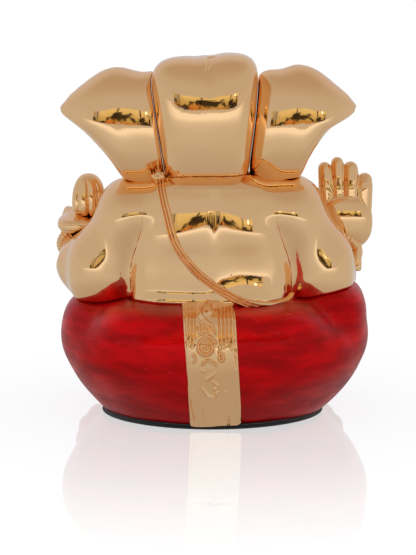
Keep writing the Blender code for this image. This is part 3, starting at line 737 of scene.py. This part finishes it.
def slip_line(own, other, height=0.4, width=0.45, seed=0):
    """A casting with a ragged ridge of slip where its skin meets another's."""
    return lambda points: own(points) - height * hump(other(points) - 0.3, width) * (
        0.75 + 0.9 * waves(points, 3.5, seed)
    )


ARMS = {side: arm_skin(side) for side in ("left", "right")}
EARS = {side: ear_skin(side) for side in ("left", "right")}


def make_castings():
    seat = floor_of(cut_away(seat_skin, torso_skin, softness=0.5), 1.1)
    casting("seat", seat, (0, -2, 14), ENAMEL, "seat_shell", 96, 58)
    torso = luted(torso_skin, list(ARMS.values()), shoulder_slip)
    torso = slip_line(torso, head_skin, 0.45, 0.4, 11)
    casting("torso", torso, (0, 0, 46), GILT, "torso_shell", 96, 40)
    casting("head", cut_away(head_skin, torso_skin), (1, -2, 80), GILT, "head_shell", 96, 34)
    for side in ("left", "right"):
        arm = cut_away(luted(ARMS[side], [torso_skin], shoulder_slip), seat_skin)
        casting(f"{side}_arm_casting", arm, ARM_CENTRES[side], GILT, f"{side}_arm", 80, 34)
        ear = cut_away(EARS[side], head_skin, torso_skin, ARMS[side])
        casting(f"{side}_ear_leaf", ear, EAR_CENTRES[side], GILT, f"{side}_ear", 80, 30)
    hand = cut_away(raised_hand_skin, ARMS["right"])
    casting("right_hand", hand, RAISED_PALM, GILT, "raised_hand", 80, 22)
    hand = cut_away(offering_hand_skin, ARMS["left"])
    casting("left_hand", hand, OFFERING_PALM, GILT, "offering_hand", 80, 18)
    sweet = cut_away(modak_skin, offering_hand_skin, softness=0.3)
    casting("sweet", sweet, MODAK_MIDDLE, GILT, "modak", 64, 12)
    for name, side in (("left", 1), ("right", -1)):
        x, y, z = FOOT
        sole = cut_away(foot_skin(side), seat_skin, softness=0.4)
        casting(f"{name}_sole", sole, (side * x, y - 5, z), GILT, f"{name}_foot", 48, 14)


make_castings()


# The sacred thread's way round the torso: across the back from the left shoulder to the right hip.
THREAD_KNOTS = [
    (14.2, 8, 64), (13.2, 13.5, 64.5), (11.4, 18, 58), (9, 20, 49.3), (5, 20, 43.4), (0, 20, 39),
    (-6, 20, 35.8), (-13, 18.5, 34), (-18, 15, 33.6), (-22, 9, 34.6), (-23, -2, 35), (-19, -18, 35),
    (-10, -25, 37.5), (0, -27, 43), (9, -22, 51), (14, -14, 57), (16.5, -4, 62.5),
]
TORSO_MIDDLE = np.array([0.0, 0.0, 44.0])


def under_thread(points):
    """The skin that the thread lies on: the torso's, and the slip over the left shoulder."""
    return blend(shoulder_slip(points), torso_skin(points), ARMS["left"](points))


def make_thread():
    """Three strands side by side: a flat-bottomed profile, 2.4 wide, whose top is three round lobes."""
    directions = smooth_path(THREAD_KNOTS, 420, closed=True) - TORSO_MIDDLE
    directions /= np.linalg.norm(directions, axis=1)[:, None]
    path = pushed_out(under_thread, TORSO_MIDDLE, directions, 34)
    outward = steepest(under_thread, path)
    share = np.linspace(-1, 1, 31)
    top = np.column_stack([1.2 * share, 0.02 + 0.95 * np.abs(np.cos(1.5 * np.pi * share)) ** 0.7])
    foot = np.array([(1.15, -0.5), (0, -0.6), (-1.15, -0.5)])
    profile = np.concatenate([top, foot])
    wobble = 1 + 0.06 * waves(path, 5, 21)
    profiles = profile[None] * wobble[:, None, None]
    points = along_path(path, profiles, outward, closed=True)
    piece("thread", points, tube_faces(len(path), len(profile), True), GILT, "sacred_thread")


make_thread()


def make_knot():
    """The thread's knot on the left shoulder: a lumpy ball."""
    middle = np.array([14.2, 12.6, 66.6])

    def lump(points):
        return oval(points, middle, (1.9, 1.7, 1.5)) + 0.45 * waves(points, 2.2, 41)

    casting("thread_knot", lump, middle, GILT, None, 24, 4)


make_knot()


def bead(name, path, outward, radius, seed, proud=0.0):
    """A thin ragged line of slip along a joint: a round profile whose size wanders."""
    _, ring = circle(8)
    size = radius * (1 + 0.8 * waves(path, 2.6, seed) + 0.6 * waves(path, 7, seed + 1))
    ends = np.sin(np.pi * np.linspace(0.02, 0.98, len(path))) ** 0.35
    points = along_path(path + proud * outward, ring[None] * (size * ends)[:, None, None], outward)
    piece(name, points, tube_faces(len(path), len(ring), False), GILT)


def torso_back(across, up):
    """The y of the torso's back at a place across and up, from its level sections."""
    left, right, back, _ = torso_sizes(up)
    share = np.clip(np.abs(across) / np.where(across > 0, left, right), 0, 1)
    return 8 + (back - 8) * (1 - share**BACK_POWER) ** (1 / BACK_POWER)


def make_armpit_lines():
    """Lines of slip where torso and arm meet behind: at each height, over the first place outwards on the
    torso's back that is inside the arm, laid on the skin of the slip."""
    up = np.linspace(34.5, 56.5, 90)
    for side, sign in (("left", 1), ("right", -1)):
        span = np.linspace(9, 22, 260)
        across, heights = np.meshgrid(sign * span, up)
        back = torso_back(across.ravel(), heights.ravel())
        spots = np.column_stack([across.ravel(), back, heights.ravel()])
        inside = ARMS[side](spots).reshape(across.shape) < 0
        first = np.where(inside.any(axis=1), inside.argmax(axis=1), span.size - 1)
        path = spots.reshape(len(up), span.size, 3)[np.arange(len(up)), first]
        path[:, 0] = np.convolve(np.pad(path[:, 0], 6, "edge"), np.ones(13) / 13, "valid")
        path[:, 1] = 0
        outward = np.tile((0.0, 1.0, 0.0), (len(path), 1))

        def slip(points, arm=ARMS[side]):
            return blend(shoulder_slip(points), torso_skin(points), arm(points))

        path = pushed_out(slip, path, outward, 30)
        bead(f"{side}_armpit_slip", path, outward, 0.22, 31 if sign > 0 else 33, 0.02)


make_armpit_lines()

WRIST_RADIUS = 4.8


def make_bangle(side, beads, twist):
    """A rope-edged ring round the wrist, square to the forearm, from an oval profile with a running wave."""
    wrist = np.array(WRISTS[side], float)
    along = wrist - np.array(ELBOWS[side], float)
    along /= np.linalg.norm(along)
    first = np.cross(along, (0.0, 0.0, 1.0))
    first /= np.linalg.norm(first)
    second = np.cross(along, first)
    turns = np.linspace(0, 2 * np.pi, 260, endpoint=False)
    outward = np.cos(turns)[:, None] * first + np.sin(turns)[:, None] * second
    path = wrist + (WRIST_RADIUS + 0.5) * outward
    ring, _ = circle(18)
    wave = 1 + 0.16 * np.cos(beads * turns[:, None] + twist * ring[None])
    profiles = np.stack([1.25 * wave * np.cos(ring), 0.95 * wave * np.sin(ring)], axis=2)
    points = along_path(path, profiles, outward, closed=True)
    piece(f"{side}_wrist_ring", points, tube_faces(len(path), len(ring), True), GILT, f"{side}_bangle")


def tube(name, knots, node, count=80, sides=28, ridges=None):
    """A round profile along a smooth path through knots of place and radius, closed by rounded ends."""
    rows = smooth_path(knots, count)
    path, radius = rows[:, :3], rows[:, 3]
    turn, ring = circle(sides)
    share = np.linspace(0, 1, count)
    end = np.clip((1 - share) * count / 6, 0, 1)
    size = radius * np.sqrt(1 - (1 - end) ** 2 + 1e-4)
    profiles = ring[None] * size[:, None, None]
    if ridges is not None:
        profiles = profiles * ridges(share, turn)[:, :, None]
    piece(name, along_path(path, profiles), tube_faces(count, sides, False), GILT, node)


def make_trunk_and_tusks():
    def folds(share, turn):
        """Creases across the outside of the trunk, closer together towards its tip."""
        rings = np.abs(np.sin(np.pi * 15 * share**1.2)) ** 0.5
        return 1 - 0.035 * (1 - rings)[:, None] * (0.6 + 0.4 * np.cos(turn))[None]

    tube("trunk_tube", TRUNK_KNOTS, "trunk", 220, 48, folds)
    for side, name, length in ((1, "left", 13), (-1, "right", 8)):
        root = np.array([1 + side * 8, -15, 67.0])
        way = np.array([side * 0.22, -0.82, -0.45])
        knots = [
            (*(root + way * length * part + np.array([0, 0, 1.4]) * part**2), 2.1 * (1 - 0.6 * part**1.3))
            for part in (0, 0.3, 0.6, 0.85, 1)
        ]
        tube(f"{name}_tusk_point", knots, f"{name}_tusk", 50, 24)


def make_tail():
    """The knotted cord's loose end beside the right wrist, thicker towards its foot."""
    tube("cord_end", [(-41.2, -9.4, 45.0, 0.8), (-41.0, -8.8, 43.0, 1.0), (-40.7, -8.3, 40.6, 1.2),
                      (-40.5, -8.1, 38.6, 1.4), (-40.4, -8.1, 37.2, 1.35)], "bangle_tail", 60, 20)


make_bangle("left", 34, 0)
make_bangle("right", 30, 2)
make_trunk_and_tusks()
make_tail()


# The back sash: a strip of brocade in relief. Its pattern is laid out across (x) and by "sight", the height
# seen from a little above level behind, so that its scrolls look round from there.
SIGHT_UP, SIGHT_BACK = 0.985, 0.174
PLEAT_CUT, SCROLL_LIFT = 1.35, 1.3  # how strongly the pattern below is pressed in and raised
SCROLLS = [
    # width, height, then x and sight height of the stroke's knots
    (0.34, 0.62, [(1.0, 28.6), (2.4, 27.4), (2.1, 25.8), (0.9, 25.5), (-0.3, 26.6), (-0.1, 28.0),
                  (1.0, 28.6)]),
    (0.36, 0.66, [(3.2, 28.2), (2.9, 25.6), (1.5, 24.0), (-0.2, 22.9), (-1.1, 21.4)]),
    (0.34, 0.70, [(2.0, 23.9), (3.2, 22.9), (2.9, 21.3), (1.4, 20.9), (0.7, 22.4), (2.0, 23.9)]),
    (0.30, 0.55, [(1.9, 22.6), (2.0, 22.2)]),
    (0.42, 0.70, [(1.3, 20.6), (0.1, 20.2), (-1.2, 18.9)]),
    (0.40, 0.80, [(1.6, 19.9), (3.2, 18.8), (3.2, 16.8), (1.7, 15.7), (0.0, 16.4), (-0.2, 18.2),
                  (1.6, 19.9)]),
    (0.32, 0.55, [(2.4, 18.6), (1.2, 18.7), (1.0, 17.5), (2.0, 17.2)]),
    (0.32, 0.60, [(-2.3, 16.2), (-3.4, 15.1), (-2.9, 14.0), (-2.2, 14.8), (-2.3, 16.2)]),
    (0.34, 0.45, [(4.7, 15.5), (4.2, 14.7), (4.6, 13.9)]),
    (0.34, 0.50, [(2.3, 13.1), (1.3, 14.1), (0.0, 13.9), (-1.3, 13.0)]),
    (0.32, 0.40, [(2.4, 11.6), (2.0, 11.3)]),
    (0.38, 0.50, [(1.0, 9.3), (-0.8, 10.7)]),
    (0.34, 0.50, [(-0.7, 8.5), (-1.8, 7.6), (-0.9, 6.7)]),
    (0.42, 0.60, [(2.0, 6.7), (0.8, 5.1), (-0.7, 4.8), (-1.5, 5.8)]),
    (0.32, 0.40, [(-3.8, 6.0), (-4.0, 5.5)]),
    (0.32, 0.30, [(4.6, 6.3), (4.6, 5.8)]),
]
PLEATS = [
    # x of the groove at its top and foot, its sight heights, its depth
    (7.1, 6.7, 28, 17, 0.34), (6.1, 5.9, 28, 18, 0.42), (5.2, 5.0, 28, 17.5, 0.5),
    (4.4, 4.2, 27.5, 19, 0.4), (-2.0, -2.4, 27.5, 17.5, 0.45), (-3.1, -3.4, 28, 17.5, 0.5),
    (-4.1, -4.3, 28, 18, 0.45),
    (-5.1, -5.4, 28, 17, 0.42), (-6.1, -6.6, 27, 12, 0.3),
    (7.2, 6.3, 13, 7, 0.25), (5.7, 4.4, 4, -2.5, 0.35), (2.4, 2.0, 2, -2.6, 0.22),
    (-4.6, -4.7, -0.5, -3.3, 0.25),
    (-6.9, -7.2, 6, -2.0, 0.2),
]


def rounded_strip(side, thickness):
    """Thickness across a strip whose edges, at side -1 and 1, are rounded and sunk."""
    return thickness * np.sqrt(np.clip(1 - np.abs(side) ** 9, 0, 1)) - 0.12


def sash_relief(across, sight, side):
    """Thickness of the sash: a rounded strip, less its pleats, plus the scrolls and a rolled hem."""
    relief = rounded_strip(side, 1.0)
    for top_x, foot_x, top, foot, depth in PLEATS:
        part = (top - sight) / (top - foot)
        middle = top_x + (foot_x - top_x) * part + 0.07 * np.sin(sight * 1.7 + top_x)
        ends = smooth_step(part, -0.06, 0.08) * smooth_step(1.05 - part, 0, 0.2)
        relief -= PLEAT_CUT * depth * hump(across - middle, 0.26) * ends
    raised = np.zeros_like(relief)
    for width, height, knots in SCROLLS:
        stroke = smooth_path(knots, 10 * len(knots))
        away = np.hypot(across[:, None] - stroke[:, 0], sight[:, None] - stroke[:, 1]).min(axis=1)
        raised = np.maximum(raised, SCROLL_LIFT * height * hump(away, width))
    hem = 0.18 * smooth_step(-sight, 2.2, 2.7)
    return relief + raised + hem * (np.abs(side) < 0.98)


def make_sash(name, node, foot_tilt, tilt_range, middle_line, half_width, relief, shape):
    """A strip cast onto the seat from its middle line: rows turn from above the waist down to the foot."""
    rows, columns = shape
    side, tilt = flat_grid(np.linspace(1, -1, columns), np.radians(np.linspace(*tilt_range, rows)))
    way = np.column_stack([np.zeros_like(tilt), foot_tilt * np.cos(tilt), np.sin(tilt)])
    start_x = middle_line(tilt) + half_width * side
    starts = np.column_stack([start_x, np.full_like(tilt, -2.0), np.full_like(tilt, 14.0)])
    skin = pushed_out(seat_skin, starts, way, 58)
    outward = steepest(seat_skin, skin)
    sight = SIGHT_UP * skin[:, 2] - SIGHT_BACK * skin[:, 1] * foot_tilt
    thick = relief(skin[:, 0], sight, side)
    outer, inner = skin + outward * thick[:, None], skin - outward * 0.5
    points, faces = relief_sheet(outer, inner, shape)
    if foot_tilt > 0:
        faces = faces[:, ::-1]
    piece(name, points, faces, GILT, node)


def front_relief(across, sight, side):
    """The front sash: a rounded strip with a border line each side and a row of small lozenges."""
    relief = rounded_strip(side, 0.95)
    relief -= 0.3 * hump(np.abs(side) - 0.78, 0.05)
    step = (across, (sight - 14) % 5 - 2.5)
    return relief + 0.45 * smooth_step(1.5 - np.abs(step[0]) - np.abs(step[1]), 0, 0.5) - 0.25 * hump(
        np.hypot(*step), 0.35
    )


def tilak_relief(across, up):
    """The forehead mark: a drop between two curved strokes, 0.7 thick at its middle."""
    drop = 1 - np.hypot((across - 1) / (0.75 + 0.06 * (88 - up)), (up - 83.6) / 2.4)
    rails = [
        1 - np.hypot((across - 1 - sign * (1.9 - 0.02 * (up - 80) ** 2)) / 0.45, (up - 84.4) / 3.6)
        for sign in (1, -1)
    ]
    return 0.7 * np.sqrt(np.clip(np.maximum.reduce([drop, *rails]) * 2, 0, 1)) - 0.15


def make_tilak():
    """A patch of the forehead's own skin, raised where the mark is and sunk under it elsewhere."""
    across, up = flat_grid(np.linspace(-2, 4, 90), np.linspace(80.2, 88.8, 120))
    starts = np.column_stack([across, np.zeros_like(across), up])
    skin = pushed_out(head_skin, starts, np.tile((0.0, -1.0, 0.0), (len(across), 1)), 30)
    outward = steepest(head_skin, skin)
    outer = skin + outward * tilak_relief(across, up)[:, None]
    points, faces = relief_sheet(outer, skin - outward * 0.6, (120, 90))
    piece("forehead_mark", points, faces, GILT, "forehead_tilak")


make_tilak()


def make_sashes():
    make_sash(
        "sash_in_front", "front_sash", -1, (58, 0.5), lambda tilt: np.zeros_like(tilt),
        5.5, front_relief, (240, 90),
    )
    make_sash(
        "sash_behind", "back_sash", 1, (64, -22.5), lambda tilt: 1.1 - 2.3 * smooth_step(-tilt, -0.9, 0.4),
        7.1, sash_relief, (400, 150),
    )


make_sashes()


PAD_SIZE = (30.0, 28.2)  # half its width and depth
PAD_EDGE = [  # share of the outline, height
    (0.4, 0.0), (0.97, 0.0), (0.992, 0.1), (1.0, 0.3), (1.0, 0.75), (0.99, 1.0), (0.97, 1.1), (0.4, 1.1),
]


def make_pad():
    """The felt pad: the outline (x/a)^2 + (y/b)^2 = 1, carried up a rounded edge, with a fuzzy side."""
    turn = np.linspace(0, 2 * np.pi, 720, endpoint=False)
    round_x, round_y = np.cos(turn), np.sin(turn)
    edge = smooth_path(PAD_EDGE, 40)
    share, up = edge.T[:, :, None]
    fuzz = 1 + 0.002 * waves(np.column_stack([30 * round_x, 30 * round_y, 0 * turn]), 1.3, 51)[None]
    across = PAD_SIZE[0] * round_x[None] * share * fuzz - 0.4
    along = PAD_SIZE[1] * round_y[None] * share * fuzz
    points = np.stack([across, along, np.maximum(up, 0) + 0 * across], axis=2).reshape(-1, 3)
    piece("felt_pad", points, tube_faces(len(edge), len(turn), False), FELT, "base_pad")


make_pad()


# Studio.


def make_table():
    """A broad white table, polished in the middle. Seen in the gilding it carries painted shade, dimmer close
    to the figure, and painted light, bright towards its far edge in front of the window."""
    span = 3.0
    mesh = bpy.data.meshes.new("table_top")
    low = float(CAD_LOW[2])
    corners = [(-span, -span, low), (span, -span, low), (span, span, low), (-span, span, low)]
    mesh.from_pydata(corners, [], [(0, 1, 2, 3)])
    material = bpy.data.materials.new("pale_table")
    material.use_nodes = True
    finish = Finish(material.node_tree)
    material.node_tree.nodes.remove(material.node_tree.nodes["Principled BSDF"])
    where = finish.node("ShaderNodeTexCoord", output="Object")
    radius = finish.node("ShaderNodeVectorMath", {"operation": "LENGTH"}, {0: where}, output=1)
    split = finish.node("ShaderNodeSeparateXYZ", {}, {0: where}, output=1)
    mirror = 0.42 * (1 - ((radius - 0.040) / 0.155)).ramp(0.0, 1.0)
    white = finish.node("ShaderNodeEmission", {}, {"Color": (1, 1, 1, 1), "Strength": 1.04 + 0.62 * mirror})
    matt = finish.node("ShaderNodeBsdfDiffuse", {}, {"Color": (0.95, 0.95, 0.95, 1)})
    polish = finish.node("ShaderNodeBsdfGlossy", {}, {"Color": (1, 1, 1, 1), "Roughness": 0.03})
    pale = finish.node("ShaderNodeMixShader", {}, {0: 0.2, 1: white, 2: matt})
    seen = finish.node("ShaderNodeMixShader", {}, {0: mirror, 1: pale, 2: polish})
    # Painted shade near the figure and painted light towards the window, in the table's colour as glossy rays
    # see it.
    ahead = (split / (radius + 0.001)).ramp(0.3, 0.85)
    near = finish.colour_mix(radius.ramp(0.02, 0.20), (0.50, 0.465, 0.45, 1), (0.62, 0.63, 0.64, 1))
    far = finish.colour_mix(ahead, (0.62, 0.62, 0.62, 1), (1.06, 1.10, 1.14, 1))
    tone = finish.colour_mix(radius.ramp(0.12, 1.1), near, far)
    mirrored_painted_light_and_shade = finish.node("ShaderNodeEmission", {}, {"Color": tone, "Strength": 1.0})
    glossy_ray = finish.node("ShaderNodeLightPath", output="Is Glossy Ray")
    surface = finish.node("ShaderNodeMixShader", {}, {0: glossy_ray, 1: seen, 2: mirrored_painted_light_and_shade})
    finish.tree.links.new(surface.socket, finish.tree.nodes["Material Output"].inputs["Surface"])
    mesh.materials.append(material)
    table = bpy.data.objects.new("table_top", mesh)
    bpy.context.scene.collection.objects.link(table)


make_table()

WINDOW_LOW, WINDOW_TOP = 0.004, 0.235  # its heights, as sines of the elevation
WINDOW_SIDE = 0.615
POSTS = [
    # middle across, half width, height of its top, softness of its edge
    (-0.30, 0.022, 0.24, 0.014), (0.05, 0.014, 0.24, 0.01), (0.45, 0.02, 0.24, 0.014),
    (-0.55, 0.05, 0.13, 0.04),
]


def make_light():
    """A pale tent. Facing the figure's back it opens on a warm room that only the gilding mirrors: a yellow
    wall, redder towards its foot, with posts, dark clutter, a glow, a grey haze and a small lamp."""
    world = bpy.data.worlds.new("tent")
    bpy.context.scene.world = world
    world.use_nodes = True
    sky = Finish(world.node_tree)
    background = world.node_tree.nodes["Background"]
    way = sky.node("ShaderNodeTexCoord", output="Generated")
    x, y, z = (sky.node("ShaderNodeSeparateXYZ", {}, {0: way}, output=index) for index in range(3))
    cloth = sky.colour_mix(z.ramp(0.0, 0.35), (0.63, 0.63, 0.63, 1), (0.60, 0.595, 0.60, 1))
    cloth = sky.colour_mix(z.ramp(0.45, 1.0), cloth, (0.52, 0.46, 0.42, 1))
    tent = sky.colour_mix(1 - y.ramp(-0.75, -0.05), cloth, (0.64, 0.62, 0.66, 1))
    low_edge = 1 - z.ramp(0.012, 0.04)
    room = sky.colour_mix(z.ramp(0.03, 0.2), (0.58, 0.46, 0.18, 1), (0.84, 0.74, 0.40, 1))
    room = sky.colour_mix(low_edge, room, (0.55, 0.26, 0.03, 1))
    for middle, half, top, edge in POSTS:
        away = (x - middle + (z - 0.1) * 0.12).math("ABSOLUTE")
        inside = (1 - away.ramp(half - edge, half)) * (1 - z.ramp(top - edge, top))
        room = sky.colour_mix(inside * 0.97, room, (0.02, 0.014, 0.012, 1))
    spot = sky.node("ShaderNodeCombineXYZ", {}, {0: x * 5.5 + z * 1.3, 1: z * 10, 2: y * 0.3})
    clutter = sky.noise(spot, 1.0, 3, 0.55)
    dark = (clutter + (0.12 - z) * 0.8).ramp(0.545, 0.60) * (1 - z.ramp(0.13, 0.19))
    room = sky.colour_mix(dark * 0.96, room, (0.025, 0.016, 0.012, 1))
    ember = (1 - ((x - 0.14).math("ABSOLUTE")).ramp(0.03, 0.12)) * (1 - z.ramp(0.035, 0.075))
    room = sky.colour_mix(ember * 0.8, room, (0.62, 0.20, 0.02, 1))
    haze = (1 - ((x - 0.5).math("ABSOLUTE")).ramp(0.02, 0.16)) * z.ramp(0.05, 0.12)
    room = sky.colour_mix(haze * 0.7, room, (0.30, 0.29, 0.28, 1))
    lamp = (1 - ((x + 0.47).math("ABSOLUTE")).ramp(0.015, 0.03)) * z.ramp(0.17, 0.18)
    room = sky.colour_mix(lamp, room, (2.2, 2.2, 2.3, 1))
    level = z.ramp(WINDOW_LOW, WINDOW_LOW + 0.004) * (1 - z.ramp(WINDOW_TOP - 0.006, WINDOW_TOP))
    sides = 1 - (x.math("ABSOLUTE")).ramp(WINDOW_SIDE - 0.015, WINDOW_SIDE)
    tent = sky.colour_mix(level * sides * y.ramp(0.3, 0.31), tent, room)
    glossy_ray = sky.node("ShaderNodeLightPath", output="Is Glossy Ray")
    colour = sky.colour_mix(glossy_ray, (1.04, 1.04, 1.04, 1), tent)
    world.node_tree.links.new(colour.socket, background.inputs["Color"])


make_light()


LENS, FILM = 250.0, 36.0
CAMERA_TILT = 10  # degrees above the table
# In heights of the figure: what the frame holds from top to foot, and its middle to the side and up.
FRAME_HEIGHT, AIM_SIDE, AIM_UP = 1.547, 0.0083, 0.363


def make_camera():
    """A long lens behind the figure, ten degrees above the table."""
    height = float(CAD_HIGH[2] - CAD_LOW[2])
    tilt = np.radians(CAMERA_TILT)
    towards = Vector((0, np.cos(tilt), np.sin(tilt)))
    upward = Vector((0, -np.sin(tilt), np.cos(tilt)))
    aim = Vector((AIM_SIDE * height, 0, 0)) + upward * (AIM_UP * height)
    camera = bpy.data.cameras.new("camera")
    camera.lens, camera.sensor_width, camera.clip_start = LENS, FILM, 0.01
    obj = bpy.data.objects.new("camera", camera)
    bpy.context.scene.collection.objects.link(obj)
    obj.location = aim + towards * (LENS / FILM * (FRAME_HEIGHT * height))
    obj.rotation_euler = (-towards).to_track_quat("-Z", "Y").to_euler()
    bpy.context.scene.camera = obj
    bpy.context.scene.view_settings.view_transform = "Standard"


make_camera()
